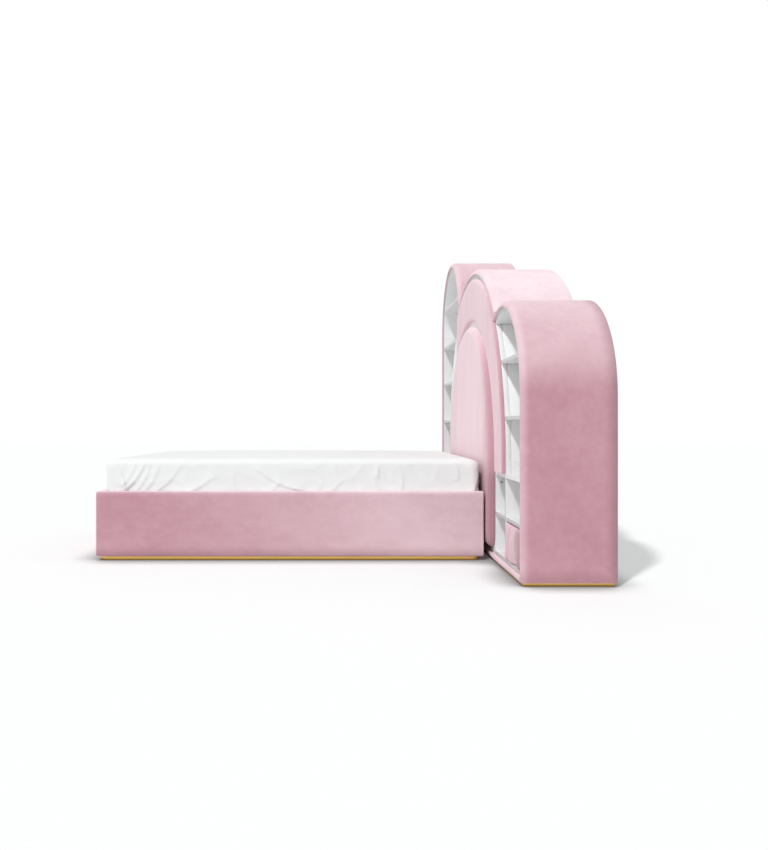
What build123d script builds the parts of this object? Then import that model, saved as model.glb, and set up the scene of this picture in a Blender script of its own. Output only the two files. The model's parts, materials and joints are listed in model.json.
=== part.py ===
from build123d import *
import os
from math import sqrt

# Upholstered double bed for a child's room, with a headboard of three staggered arches.
# Lengths are in millimetres. X runs from the foot of the bed to the back of the headboard,
# Y runs across the bed from its near side to its far side, and Z is up from the floor.
# The origin is on the floor, under the middle of the whole piece of furniture.

# Bed base
rail_height = 348
rail_board_thick = 22
rail_pad_thick = 18
rail_wrap_thick = 6
rail_round = 14
head_rail_thick = 20
bed_plinth_height = 22
bed_plinth_width = 24
bed_plinth_inset = 12
bed_plinth_bend = 46

# Slatted base
slat_count = 14
slat_width = 60
slat_thick = 8
slat_bow = 10
slat_first = 40
holder_wall = 3
holder_length = 34
holder_play = 0.4
bearer_width = 40
bearer_height = 40
beam_width = 80
beam_height = 40
beam_slot = 6
leg_count = 3
leg_radius = 19
leg_sides = 12
leg_plate = 70
leg_plate_thick = 4
glide_radius = 25
glide_height = 8

# Corner brackets and their bolts
bracket_wing = 60
bracket_thick = 4
bracket_height = 160
bracket_bottom = 88
bolt_radius = 4
bolt_head_radius = 7.5
bolt_head_height = 5.5
bolt_grip = 20
bolt_from_corner = 36
bolt_from_end = 40
bolt_play = 0.2

# Mattress and its fitted sheet
mattress_length = 2010
mattress_width = 1404
mattress_thick = 240
mattress_top = 563
mattress_corner = 42
mattress_crown = 20
mattress_edge = 50
mattress_side_play = 6
mattress_end_play = 2
sheet_thick = 2

# Headboard box
bed_gap = 17
headboard_depth = 436
shell_lip = 14
lip_thick = 29
cover_thick = 22
cover_round = 34
cover_back_round = 10
board_thick = 18
liner_thick = 33
back_thick = 9
back_inset = 6
front_board_thick = 25
groove_width = 8
groove_depth = 5

# Arches, as radius of the outside and height of the centre. The wall's arch is the one that the
# middle cover, the band and the centre pad are measured from, outwards or inwards and down.
side_radius = 500
side_offset = 990
near_spring = 850
far_spring = 1425
wall_radius = 1078
wall_spring = 546
middle_reveal = 90
middle_drop = 34
band_width = 221
band_drop = 38
band_thick = 19
band_round = 15
band_lift = 5
centre_gap = 56
centre_drop = 13
centre_pad_thick = 41
centre_pad_bottom = 76
centre_pad_corner = 70
centre_pad_round = 34

# Heights in the headboard
plinth_height = 18
plinth_width = 20
plinth_inset = 14
batten_height = 26
batten_width = 40
post_width = 60
post_offset = 400
post_top_gap = 12
low_pitch = 209
shelf_pitch = 288
near_shelf_count = 2
far_shelf_count = 4
strip_thick = 22
strip_height = 24
strip_round = 7

# Bolts that tie the bed to the headboard
tie_radius = 5
tie_head_radius = 11
tie_head_height = 8
tie_sleeve_radius = 10
tie_depth = 45
tie_play = 0.3
tie_low_height = 130
tie_high_height = 270

# Cover caps in the night stand
cap_radius = 6.5
cap_thick = 1.6
cap_plug_radius = 4
cap_plug_length = 8
cap_from_front = 32
cap_height = 424

# Drawers
drawer_travel = 300
drawer_gap = 3
drawer_top_gap = 10
drawer_pad_thick = 28
drawer_pad_corner = 16
drawer_pad_edge = 13
drawer_pad_crown = 9
drawer_front_thick = 15
drawer_side_thick = 12
drawer_base_thick = 6
drawer_depth = 350
drawer_height = 120
drawer_lift = 18
runner_space = 13
runner_height = 35
runner_sheet = 1.5
runner_overlap = 30
runner_reach = 9
runner_hook = 2
runner_clear = 0.5
runner_set = 8

# Sides of a small round bar, hole or cap, which repeats too often for a smooth one
fastener_sides = 6

# How far a cut runs past the piece, and how near two places count as one
overrun = 10
fuzz = 0.01

# Shares of a rolled edge at which its outline is drawn, as (inset, height): a quarter turn
edge_shares = ((0.0, 0.0), (0.134, 0.5), (0.5, 0.866), (1.0, 1.0))
small_edge_shares = ((0.0, 0.0), (0.293, 0.707), (1.0, 1.0))
diagonal_share = sqrt(0.5)

# Places that follow from the sizes
rail_thick = rail_board_thick + rail_pad_thick
bed_length = rail_thick + mattress_length + 2 * mattress_end_play + head_rail_thick
bed_width = mattress_width + 2 * (mattress_side_play + rail_thick)
shell_thick = cover_thick + liner_thick
total_length = bed_length + bed_gap + centre_pad_thick + headboard_depth - shell_lip
foot_x = -total_length / 2
head_x = foot_x + bed_length
pad_front_x = head_x + bed_gap
board_front_x = pad_front_x + centre_pad_thick
shell_front_x = board_front_x - shell_lip
back_x = shell_front_x + headboard_depth
runner_length = drawer_travel + runner_overlap
panel_x = (back_x - back_inset - back_thick, back_x - back_inset)
front_board_x = (board_front_x, board_front_x + front_board_thick)
inner_wall_x = (front_board_x[1], panel_x[0])
cabinet_x = (board_front_x, panel_x[0])

rail_z = (bed_plinth_height, bed_plinth_height + rail_height)
board_z = (rail_z[0] + rail_wrap_thick, rail_z[1] - rail_wrap_thick)
rail_outer_y = bed_width / 2
rail_inner_y = rail_outer_y - rail_thick
well_x = (foot_x + rail_thick, head_x - head_rail_thick)

bottom_board_z = (plinth_height + batten_height, plinth_height + batten_height + board_thick)
low_shelf_top = bottom_board_z[1] + low_pitch
counter_top = low_shelf_top + low_pitch
liner_inner_y = side_offset + side_radius - shell_thick
lip_inner_y = side_offset + side_radius - lip_thick
wall_inner_radius = wall_radius - board_thick
middle_radius = wall_radius + middle_reveal
middle_spring = wall_spring - middle_drop
band_inner_radius = wall_radius - band_width
band_inner_spring = wall_spring - band_drop
centre_radius = band_inner_radius - centre_gap
centre_spring = wall_spring - centre_drop
middle_inner_radius = middle_radius - shell_thick

SIDES = {"near": -1, "far": 1}
SPRINGS = {"near": near_spring, "far": far_spring}
SHELVES = {"near": near_shelf_count, "far": far_shelf_count}


def block(x, y, z):
    """Block between two places on each axis."""
    size = [abs(b - a) for a, b in (x, y, z)]
    return Pos(sum(x) / 2, sum(y) / 2, sum(z) / 2) * Box(*size)


def side_block(side, x, y, z):
    """Block on the near or far side, with y counted outwards from the middle of the bed."""
    return block(x, [SIDES[side] * value for value in y], z)


def run_x(face, x):
    """A face drawn in Y and Z, run from one place on X to another."""
    return extrude(Plane.YZ.offset(x[0]) * face, amount=x[1] - x[0], dir=(1, 0, 0))


def past(x):
    """The same stretch, longer at both ends by the overrun."""
    return (x[0] - overrun, x[1] + overrun)


def arch_face(centre, radius, spring, base):
    """Outline of an arch in Y and Z: two quarter arcs on straight legs."""
    left, right, edge = centre - radius, centre + radius, radius * diagonal_share
    crown = (centre, spring + radius)
    return make_face([
        Line((left, base), (left, spring)),
        ThreePointArc((left, spring), (centre - edge, spring + edge), crown),
        ThreePointArc(crown, (centre + edge, spring + edge), (right, spring)),
        Line((right, spring), (right, base)),
        Line((right, base), (left, base)),
    ])


def arch(centre, radius, spring, base, x):
    """Solid arch: a half disc on straight legs, from one place on X to another."""
    return run_x(arch_face(centre, radius, spring, base), x)


def loft_x(faces):
    """Solid through faces that are given as (place on X, face in Y and Z)."""
    return loft([Plane.YZ.offset(x) * face for x, face in faces], ruled=True)


def rolled_arch(centre, radius, spring, base, x, front, back=()):
    """Solid arch whose edges roll over; each roll is given as its radius and its shares."""
    places = [(x[0] + (1 - height) * front[0], inset * front[0]) for inset, height in front[1]]
    places.reverse()
    if back:
        places += [(x[1] - (1 - height) * back[0], inset * back[0]) for inset, height in back[1]]
    else:
        places.append((x[1], 0))
    return loft_x([(place, arch_face(centre, radius - inset, spring, base)) for place, inset in places])


def side_arch(side, radius, base, x):
    """Solid arch about the centre of the near or far side arch."""
    return arch(SIDES[side] * side_offset, radius, SPRINGS[side], base, x)


def arch_cover(centre, radius, spring):
    """Foam and velvet on an arch, turned round the front edge of the board inside it."""
    base = plinth_height
    x = (shell_front_x, back_x)
    front, back = (cover_round, edge_shares), (cover_back_round, small_edge_shares)
    solid = rolled_arch(centre, radius, spring, base, x, front, back)
    board = (board_front_x, back_x + overrun)
    solid -= arch(centre, radius - cover_thick, spring, base - overrun, board)
    return solid - arch(centre, radius - lip_thick, spring, base - overrun, past(x))


def arch_liner(centre, radius, spring):
    """Bent white board inside an arch."""
    x = (board_front_x, back_x)
    ring = arch(centre, radius - cover_thick, spring, plinth_height, x)
    return ring - arch(centre, radius - shell_thick, spring, plinth_height - overrun, past(x))


def side_shell(side, make):
    """Cover or liner of a side arch, ended where it meets the middle arch's wall."""
    ring = make(SIDES[side] * side_offset, side_radius, SPRINGS[side])
    return ring - arch(0, wall_radius, wall_spring, -overrun, past((shell_front_x, back_x)))


def middle_shell(make):
    """Cover or liner of the middle arch, ended where it lands on the two side arches."""
    ring = make(0, middle_radius, middle_spring)
    for side in SIDES:
        ring -= side_arch(side, side_radius, -overrun, past((shell_front_x, back_x)))
    return ring


def middle_board(x):
    """White board of the middle arch: it fills the arch, and is narrow below the counters."""
    crown = arch(0, middle_inner_radius, middle_spring, counter_top, x)
    for side in SIDES:
        crown -= side_arch(side, side_radius, -overrun, past(x))
    walls = arch(0, wall_radius, wall_spring, counter_top, x)
    foot = block(x, (-centre_radius, centre_radius), (bottom_board_z[0], counter_top))
    return crown + walls + foot


def curved_wall(side):
    """White wall that follows the middle arch inside a side cabinet, grooved beside the board."""
    ring = arch(0, wall_radius, wall_spring, counter_top, inner_wall_x)
    ring -= arch(0, wall_inner_radius, wall_spring, -overrun, past(inner_wall_x))
    groove_x = (inner_wall_x[0] - overrun, inner_wall_x[0] + groove_width)
    groove = arch(0, wall_radius + overrun, wall_spring, -overrun, groove_x)
    ring -= groove - arch(0, wall_radius - groove_depth, wall_spring, -overrun, past(groove_x))
    return ring & side_arch(side, side_radius, counter_top, inner_wall_x)


def arch_shelf(side, top):
    """Shelf between the arch's liner and the curved wall, shaped at both ends."""
    plank = side_arch(side, side_radius - shell_thick, plinth_height, cabinet_x)
    reach = (0, side_offset + side_radius)
    plank &= side_block(side, cabinet_x, reach, (top - board_thick, top))
    return plank - arch(0, wall_radius, wall_spring, -overrun, past(cabinet_x))


def back_panel(side):
    """Back of a side cabinet: the arch above the counter and both columns below it."""
    upper = side_arch(side, side_radius - shell_thick, counter_top, panel_x)
    upper -= arch(0, wall_radius, wall_spring, -overrun, past(panel_x))
    lower_y = (centre_radius, liner_inner_y)
    return upper + side_block(side, panel_x, lower_y, (bottom_board_z[0], counter_top))


def counter(side):
    """Board over the night stand and the drawer column, which carries the curved wall."""
    z = (counter_top - board_thick, counter_top)
    return side_block(side, cabinet_x, (centre_radius, liner_inner_y), z)


def bottom_board(side):
    """Floor board of both lower columns."""
    return side_block(side, cabinet_x, (centre_radius, liner_inner_y), bottom_board_z)


def divider(side):
    """Upright board between the night stand and the drawer column."""
    z = (bottom_board_z[1], counter_top - board_thick)
    return side_block(side, cabinet_x, (wall_inner_radius, wall_radius), z)


def low_shelves(side):
    """The two short shelves half way up the lower columns."""
    z = (low_shelf_top - board_thick, low_shelf_top)
    inner = side_block(side, cabinet_x, (centre_radius, wall_inner_radius), z)
    outer = side_block(side, cabinet_x, (wall_radius, liner_inner_y), z)
    return Compound(children=[inner, outer])


def cap_place(side):
    """Middle of a cover cap, on the night stand's face of the inner wall."""
    return Pos(board_front_x + cap_from_front, SIDES[side] * centre_radius, cap_height)


def inner_wall(side):
    """Upright board beside the centre panel, with the hole under its cover cap."""
    z = (bottom_board_z[0], counter_top)
    y = (centre_radius - board_thick, centre_radius)
    wall = side_block(side, inner_wall_x, y, z)
    hole = prism(cap_plug_radius + bolt_play, -cap_plug_length - bolt_play)
    return wall - cap_place(side) * Rot(X=-90 * SIDES[side]) * hole


def cover_cap(side):
    """Cap with a short plug that closes a fixing hole."""
    cap = extrude(Circle(cap_radius), cap_thick) + prism(cap_plug_radius, -cap_plug_length)
    return cap_place(side) * Rot(X=-90 * SIDES[side]) * cap


def tie_places():
    """Places of the four bolts that hold the bed to the headboard's posts."""
    return [(y, z) for y in (-post_offset, post_offset) for z in (tie_low_height, tie_high_height)]


def prism(radius, length, sides=fastener_sides):
    """Bar with flat sides that stands for a small round bar, from its origin along Z."""
    return extrude(RegularPolygon(radius, sides), length)


def along_x(radius, x, y, z):
    """Slim round bar along X, with few faces."""
    return Pos(x[0], y, z) * Rot(Y=90) * prism(radius, x[1] - x[0])


def tie_holes(radius, x):
    """Bars that cut the holes for the bolts."""
    return [along_x(radius, x, y, z) for y, z in tie_places()]


def tie_bolts():
    """Bolts from inside the head rail into the posts, each with a spacer sleeve in the pad."""
    pieces = []
    inside = head_x - head_rail_thick
    shank = (inside, front_board_x[1] + tie_depth)
    head = (inside - tie_head_height, inside)
    sleeve = (head_x, board_front_x)
    for y, z in tie_places():
        pieces.append(along_x(tie_head_radius, head, y, z) + along_x(tie_radius, shank, y, z))
        tube = along_x(tie_sleeve_radius, sleeve, y, z)
        pieces.append(tube - along_x(tie_radius + tie_play, past(sleeve), y, z))
    return Compound(children=pieces)


def front_board():
    """Front board of the middle arch, drilled for the bolts."""
    board = middle_board(front_board_x)
    for hole in tie_holes(tie_radius + tie_play, past(front_board_x)):
        board -= hole
    return board


def outer_band():
    """Padded band round the middle arch. Its near leg stands over the counter with a thin gap,
    and its far leg stops where the tall cabinet opens."""
    x = (board_front_x - band_thick, board_front_x)
    base = counter_top + band_lift
    band = rolled_arch(0, wall_radius, wall_spring, base, x, (band_round, small_edge_shares))
    inside = [(x[1] + overrun, band_inner_radius)]
    for inset, height in small_edge_shares:
        place = x[0] + (1 - height) * band_round
        inside.append((place, band_inner_radius + inset * band_round))
    inside.append((x[0] - overrun, inside[-1][1]))
    foot = base - overrun
    faces = [(place, arch_face(0, radius, band_inner_spring, foot)) for place, radius in inside]
    return band - loft_x(faces) - side_arch("far", side_radius - shell_thick, foot, past(x))


def centre_outline(inset):
    """Outline of the centre panel, drawn in by an inset: legs, quarter arcs, round corners."""
    r = centre_radius - inset
    base = centre_pad_bottom + inset
    corner = centre_pad_corner - inset
    bend = corner - corner * diagonal_share
    edge = r * diagonal_share
    points = [(-r + corner, base), (-r, base + corner), (-r, centre_spring)]
    low_left = ThreePointArc(points[0], (-r + bend, base + bend), points[1])
    leg_left = Line(points[1], points[2])
    crown = (0, centre_spring + r)
    rise = ThreePointArc(points[2], (-edge, centre_spring + edge), crown)
    fall = ThreePointArc(crown, (edge, centre_spring + edge), (r, centre_spring))
    leg_right = Line((r, centre_spring), (r, base + corner))
    low_right = ThreePointArc((r, base + corner), (r - bend, base + bend), (r - corner, base))
    foot = Line((r - corner, base), points[0])
    return make_face([low_left, leg_left, rise, fall, leg_right, low_right, foot])


def centre_pad():
    """Centre panel: a thick pad whose edge rolls over to a nearly flat face."""
    depth = centre_pad_thick - centre_pad_round
    faces = [(board_front_x, centre_outline(0))]
    for inset, height in edge_shares:
        x = board_front_x - depth - height * centre_pad_round
        faces.append((x, centre_outline(inset * centre_pad_round)))
    pad = loft_x(faces)
    for hole in tie_holes(tie_sleeve_radius + tie_play, past((pad_front_x, board_front_x))):
        pad -= hole
    return pad


def front_strip():
    """Padded strip along the foot of the headboard."""
    x = (shell_front_x, shell_front_x + strip_thick)
    z = (plinth_height, plinth_height + strip_height)
    strip = block(x, (-lip_inner_y, lip_inner_y), z)
    for side in SIDES:
        liner_end = (liner_inner_y, lip_inner_y + overrun)
        strip -= side_block(side, (board_front_x, x[1] + overrun), liner_end, past(z))
    edges = strip.faces().sort_by(Axis.X)[0].edges().filter_by(Axis.Y)
    return fillet(edges, strip_round)


def headboard_frame():
    """Timber under and inside the headboard: long battens, cross battens and two posts."""
    z = (plinth_height, plinth_height + batten_height)
    front = (shell_front_x + strip_thick, shell_front_x + strip_thick + batten_width)
    back = (panel_x[0] - batten_width, panel_x[0])
    reach = (-liner_inner_y, liner_inner_y)
    pieces = [block(front, reach, z), block(back, reach, z)]
    between = (front[1], back[0])
    for side in SIDES:
        for middle in (centre_radius - board_thick / 2, wall_radius - board_thick / 2, post_offset):
            y = (middle - batten_width / 2, middle + batten_width / 2)
            pieces.append(side_block(side, between, y, z))
        post_x = (front_board_x[1], front_board_x[1] + post_width)
        post_y = (post_offset - post_width / 2, post_offset + post_width / 2)
        rise = sqrt(middle_inner_radius ** 2 - post_y[1] ** 2)
        post_z = (z[1], middle_spring + rise - post_top_gap)
        post = side_block(side, post_x, post_y, post_z)
        for hole in tie_holes(tie_radius + tie_play, (post_x[0] - overrun, post_x[0] + tie_depth)):
            post -= hole
        pieces.append(post)
    return Compound(children=pieces)


def headboard_plinth():
    """Brass strips that the headboard stands on, set in from its edges."""
    z = (0, plinth_height)
    x = (shell_front_x + plinth_inset, back_x - plinth_inset)
    y = side_offset + side_radius - plinth_inset
    inner = y - plinth_width
    return Compound(children=[
        block((x[0], x[0] + plinth_width), (-y, y), z),
        block((x[1] - plinth_width, x[1]), (-y, y), z),
        block((x[0] + plinth_width, x[1] - plinth_width), (-y, -inner), z),
        block((x[0] + plinth_width, x[1] - plinth_width), (inner, y), z),
    ])


def drawer_space():
    """Width and height of the space that a drawer fills, as (y, z) pairs."""
    y = (wall_radius, liner_inner_y)
    z = (bottom_board_z[1], low_shelf_top - board_thick)
    return y, z


def cushion_section(half, bottom, top, edge, crown, under):
    """Section of a cushion: straight sides, rolled edges and a crown; under rolls its underside."""
    shoulder = top - crown
    bend = edge - edge * diagonal_share
    crest = ThreePointArc((half - edge, shoulder), (0, top), (edge - half, shoulder))
    outline = [crest]
    for sign in (-1, 1):
        side = sign * half
        middle = (sign * (half - bend), shoulder - bend)
        outline.append(ThreePointArc((side, shoulder - edge), middle, (side - sign * edge, shoulder)))
        outline.append(Line((side, bottom + under), (side, shoulder - edge)))
        if under:
            lift = under - under * diagonal_share
            low = (sign * (half - lift), bottom + lift)
            outline.append(ThreePointArc((side - sign * under, bottom), low, (side, bottom + under)))
    outline.append(Line((under - half, bottom), (half - under, bottom)))
    return make_face(outline)


def crowned(length, width, corner, bottom, top, edge, crown, under=0):
    """Cushion: its outline from above, cut by one section along it and one across it."""
    form = (bottom, top, edge, crown, under)
    along = extrude(Plane.XZ * cushion_section(length / 2, *form), width, both=True)
    across = extrude(Plane.YZ * cushion_section(width / 2, *form), length, both=True)
    plan = Pos(0, 0, bottom) * RectangleRounded(length, width, corner)
    return extrude(plan, top - bottom) & along & across


def drawer_pad(side):
    """Bulging padded front of a drawer, with a rolled edge and a crown."""
    y, z = drawer_space()
    width = y[1] - y[0] - 2 * drawer_gap
    height = z[1] - z[0] - drawer_gap - drawer_top_gap
    form = (0, drawer_pad_thick, drawer_pad_edge, drawer_pad_crown)
    pad = crowned(height, width, drawer_pad_corner, *form)
    middle = (sum(y) / 2 * SIDES[side], z[0] + drawer_gap + height / 2)
    return Pos(shell_front_x + drawer_pad_thick, *middle) * Rot(Y=-90) * pad


def drawer_box(side):
    """Drawer of five boards: the front that carries the pad, two sides, a back and a base."""
    y, z = drawer_space()
    front_x = (shell_front_x + drawer_pad_thick, shell_front_x + drawer_pad_thick + drawer_front_thick)
    front_z = (z[0] + drawer_gap, z[1] - drawer_top_gap)
    front = side_block(side, front_x, (y[0] + drawer_gap, y[1] - drawer_gap), front_z)
    box_z = (z[0] + drawer_lift, z[0] + drawer_lift + drawer_height)
    box_y = (y[0] + runner_space, y[1] - runner_space)
    inner_y = (box_y[0] + drawer_side_thick, box_y[1] - drawer_side_thick)
    x = (front_x[1], front_x[1] + drawer_depth)
    inner_x = (x[0], x[1] - drawer_side_thick)
    base_z = (box_z[0], box_z[0] + drawer_base_thick)
    boards = [
        front,
        side_block(side, x, (box_y[0], inner_y[0]), box_z),
        side_block(side, x, (inner_y[1], box_y[1]), box_z),
        side_block(side, (inner_x[1], x[1]), inner_y, box_z),
        side_block(side, inner_x, inner_y, base_z),
    ]
    return Compound(children=boards)


def runner_middle():
    """Height of the runners' middle line."""
    return drawer_space()[1][0] + drawer_lift + drawer_height / 2


def runner_profile(moving):
    """Section of a runner against a wall at y = 0: a fixed channel or the hook inside it."""
    half = runner_height / 2
    inner = half - runner_sheet
    if not moving:
        web = (0, runner_sheet)
        top = half
        arm = (0, runner_reach)
        hook = (runner_reach - runner_sheet, runner_reach)
        hook_z = (inner - runner_hook, inner)
    else:
        web = (runner_space - runner_sheet, runner_space)
        top = inner - runner_hook - runner_clear
        arm = (runner_space - runner_reach, runner_space)
        hook = (runner_space - runner_reach, runner_space - runner_reach + runner_sheet)
        hook_z = (top, inner - runner_clear)
    pieces = [(web, (-top, top))]
    for sign in (-1, 1):
        pieces.append((arm, (sign * (top - runner_sheet), sign * top)))
        pieces.append((hook, (sign * hook_z[0], sign * hook_z[1])))
    return pieces


def runner(side, wall, outward, x, moving):
    """One runner along X: wall is its place across, outward is where its drawer lies."""
    middle = runner_middle()
    bar = None
    for y, z in runner_profile(moving):
        across = [wall + outward * value for value in y]
        piece = side_block(side, x, across, [middle + value for value in z])
        bar = piece if bar is None else bar + piece
    return bar


def runners(side, moving):
    """Pair of runners of one drawer."""
    y, z = drawer_space()
    start = shell_front_x + drawer_pad_thick + drawer_front_thick + runner_set
    x = (start, start + runner_length)
    return [runner(side, y[0], 1, x, moving), runner(side, y[1], -1, x, moving)]


def bolt(x, y, z, direction):
    """Bolt with a hexagonal head, from a bracket's face into a rail along one direction."""
    head = prism(bolt_head_radius, -bolt_head_height)
    shank = prism(bolt_radius, bolt_grip)
    return Plane(origin=(x, y, z), z_dir=direction) * (head + shank)


def bolt_hole(x, y, z, direction):
    """Hole for a bolt, from the bracket's face into the rail."""
    hole = prism(bolt_radius + bolt_play, bolt_grip + bolt_play)
    return Plane(origin=(x, y, z), z_dir=direction) * hole


def corners():
    """Inner corners of the bed base, as (x, y, outward on x, outward on y)."""
    ends = ((well_x[0], -1), (well_x[1], 1))
    return [(x, y * rail_inner_y, ox, y) for x, ox in ends for y in (-1, 1)]


def bolt_places():
    """Every corner bolt: its place on the bracket's inner face and its direction."""
    places = []
    heights = (bracket_bottom + bolt_from_end, bracket_bottom + bracket_height - bolt_from_end)
    for x, y, ox, oy in corners():
        for z in heights:
            to_side = (x - ox * bolt_from_corner, y - oy * bracket_thick, z, (0, oy, 0))
            to_end = (x - ox * bracket_thick, y - oy * bolt_from_corner, z, (ox, 0, 0))
            places += [to_side, to_end]
    return places


def drilled(board, cuts):
    """A board with the bolt holes that reach it."""
    for cut in cuts:
        board -= cut
    return board


def corner_brackets():
    """Four steel angles in the corners of the bed base, drilled for their bolts."""
    pieces = []
    z = (bracket_bottom, bracket_bottom + bracket_height)
    for x, y, ox, oy in corners():
        wing_x = sorted((x, x - ox * bracket_wing))
        wing_y = sorted((y, y - oy * bracket_wing))
        along_side = block(wing_x, sorted((y, y - oy * bracket_thick)), z)
        along_end = block(sorted((x, x - ox * bracket_thick)), wing_y, z)
        pieces.append(drilled(along_side + along_end, [bolt_hole(*place) for place in bolt_places()]))
    return Compound(children=pieces)


def rail_core(x, y):
    """Plain board of a rail, drilled at its ends."""
    return drilled(block(x, y, board_z), [bolt_hole(*place) for place in bolt_places()])


def side_board_x():
    """Length of the board in a side rail, inside its cover."""
    return (foot_x + rail_pad_thick, head_x - rail_wrap_thick)


def side_board(side):
    """Board of a side rail."""
    y = sorted(SIDES[side] * value for value in (rail_inner_y, rail_inner_y + rail_board_thick))
    return rail_core(side_board_x(), y)


def side_cover(side):
    """Foam and velvet of a side rail, wrapped over the board's edges and ends."""
    sign = SIDES[side]
    pad = side_block(side, (foot_x, head_x), (rail_inner_y, rail_outer_y), rail_z)
    outer = pad.faces().sort_by(Axis.Y)[0 if sign < 0 else -1]
    pad = fillet(outer.edges(), rail_round)
    reach = (rail_inner_y - overrun, rail_inner_y + rail_board_thick)
    return pad - side_block(side, side_board_x(), reach, board_z)


def foot_board():
    """Board of the foot rail."""
    x = (foot_x + rail_pad_thick, foot_x + rail_thick)
    return rail_core(x, (-rail_inner_y, rail_inner_y))


def foot_cover():
    """Foam and velvet of the foot rail, between the side rails."""
    y = (-rail_inner_y, rail_inner_y)
    pad = block((foot_x, foot_x + rail_thick), y, rail_z)
    edges = pad.faces().sort_by(Axis.X)[0].edges().filter_by(Axis.Y)
    pad = fillet(edges, rail_round)
    return pad - block((foot_x + rail_pad_thick, foot_x + rail_thick + overrun), past(y), board_z)


def head_rail():
    """Plain board across the head end, drilled for the corner and headboard bolts."""
    x = (head_x - head_rail_thick, head_x)
    rail = rail_core(x, (-rail_inner_y, rail_inner_y))
    return drilled(rail, tie_holes(tie_radius + tie_play, past(x)))


def bed_plinth():
    """Brass strips under the rails, the long ones bent round the corners."""
    z = (0, bed_plinth_height)
    x = (foot_x + bed_plinth_inset, head_x - bed_plinth_inset)
    y = rail_outer_y - bed_plinth_inset
    length, width = x[1] - x[0], 2 * y
    ring = RectangleRounded(length, width, bed_plinth_bend)
    inner_bend = bed_plinth_bend - bed_plinth_width
    inner_width = width - 2 * bed_plinth_width
    ring -= RectangleRounded(length - 2 * bed_plinth_width, inner_width, inner_bend)
    ring = extrude(Pos(sum(x) / 2, 0, 0) * ring, bed_plinth_height)
    reach = y - bed_plinth_bend
    middle = block(past(x), (-reach, reach), past(z))
    near = ring & block(past(x), (-y - overrun, -reach), z)
    far = ring & block(past(x), (reach, y + overrun), z)
    return Compound(children=[near, far, *(ring & middle).solids()])


def bearers():
    """Two battens screwed inside the side rails, which carry the slats' outer ends."""
    y = (rail_inner_y - bearer_width, rail_inner_y)
    z = (bearer_top() - bearer_height, bearer_top())
    return Compound(children=[side_block(side, well_x, y, z) for side in SIDES])


def mattress_bottom():
    """Height of the mattress's underside, on the crown of the slats."""
    return mattress_top - mattress_thick


def bearer_top():
    """Height of the bearers and the centre beam, under the slat holders."""
    return mattress_bottom() - slat_thick - slat_bow - holder_wall


def centre_beam():
    """Steel channel down the middle of the base, open underneath."""
    z = (bearer_top() - beam_height, bearer_top())
    y = beam_width / 2
    beam = block(well_x, (-y, y), z)
    slot = y - beam_slot
    return beam - block(past(well_x), (-slot, slot), (z[0] - overrun, z[1] - beam_slot))


def centre_legs():
    """Legs under the centre beam, each with a plate on top and a glide below."""
    top = bearer_top() - beam_slot
    inside = beam_width / 2 - beam_slot
    plate_y = min(leg_plate / 2, inside - bolt_play)
    legs = []
    for index in range(leg_count):
        x = well_x[0] + (well_x[1] - well_x[0]) * (index + 1) / (leg_count + 1)
        plate_x = (x - leg_plate / 2, x + leg_plate / 2)
        plate = block(plate_x, (-plate_y, plate_y), (top - leg_plate_thick, top))
        stem = Pos(x, 0, 0) * prism(leg_radius, top, leg_sides)
        foot = Pos(x, 0, 0) * prism(glide_radius, glide_height, leg_sides)
        legs.append(plate + stem + foot)
    return Compound(children=legs)


def slat_places():
    """Middle of each slat along the bed."""
    first = well_x[0] + slat_first + slat_width / 2
    last = well_x[1] - slat_first - slat_width / 2
    step = (last - first) / (slat_count - 1)
    return [first + index * step for index in range(slat_count)]


def slat_reach():
    """Inner and outer end of a slat, from the middle of the bed."""
    return (holder_wall + holder_play, rail_inner_y - holder_wall - holder_play)


def slat(x):
    """Sprung slat, bowed upwards between its two holders."""
    inner, outer = slat_reach()
    middle = (inner + outer) / 2
    low = bearer_top() + holder_wall
    top = low + slat_thick
    under = ThreePointArc((inner, low), (middle, low + slat_bow), (outer, low))
    over = ThreePointArc((outer, top), (middle, top + slat_bow), (inner, top))
    face = make_face([under, Line((outer, low), (outer, top)), over, Line((inner, top), (inner, low))])
    return run_x(face, (x - slat_width / 2, x + slat_width / 2))


def slats():
    """Both rows of slats, near and far of the centre beam."""
    pieces = []
    for x in slat_places():
        far = slat(x)
        pieces += [far, mirror(far, about=Plane.XZ)]
    return Compound(children=pieces)


def slat_holders():
    """Plastic pockets on the bearers and the beam that hold the slats' ends."""
    inner, outer = slat_reach()
    z = bearer_top()
    height = 2 * holder_wall + slat_thick + slat_bow / 2
    pieces = []
    for x in slat_places():
        half = slat_width / 2 + holder_play
        cut = block((x - half, x + half), (inner - holder_play, outer + holder_play),
                    (z + holder_wall, z + height - holder_wall))
        shell_x = (x - half - holder_wall, x + half + holder_wall)
        starts = (inner - holder_play - holder_wall, outer + holder_play + holder_wall - holder_length)
        for y in starts:
            pocket = block(shell_x, (y, y + holder_length), (z, z + height)) - cut
            pieces += [pocket, mirror(pocket, about=Plane.XZ)]
    return Compound(children=pieces)


def mattress_solid(grow, bottom, under):
    """Mattress form with a crown and rolled edges, grown for the sheet."""
    length, width = mattress_length + 2 * grow, mattress_width + 2 * grow
    form = (bottom, mattress_thick + grow, mattress_edge + grow, mattress_crown, under)
    return crowned(length, width, mattress_corner + grow, *form)


def mattress_place():
    """Where the mattress lies: centred in the well, on the slats."""
    return Pos(sum(well_x) / 2, 0, mattress_bottom())


def mattress():
    """Mattress without its sheet."""
    return mattress_place() * mattress_solid(0, 0, mattress_edge)


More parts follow.
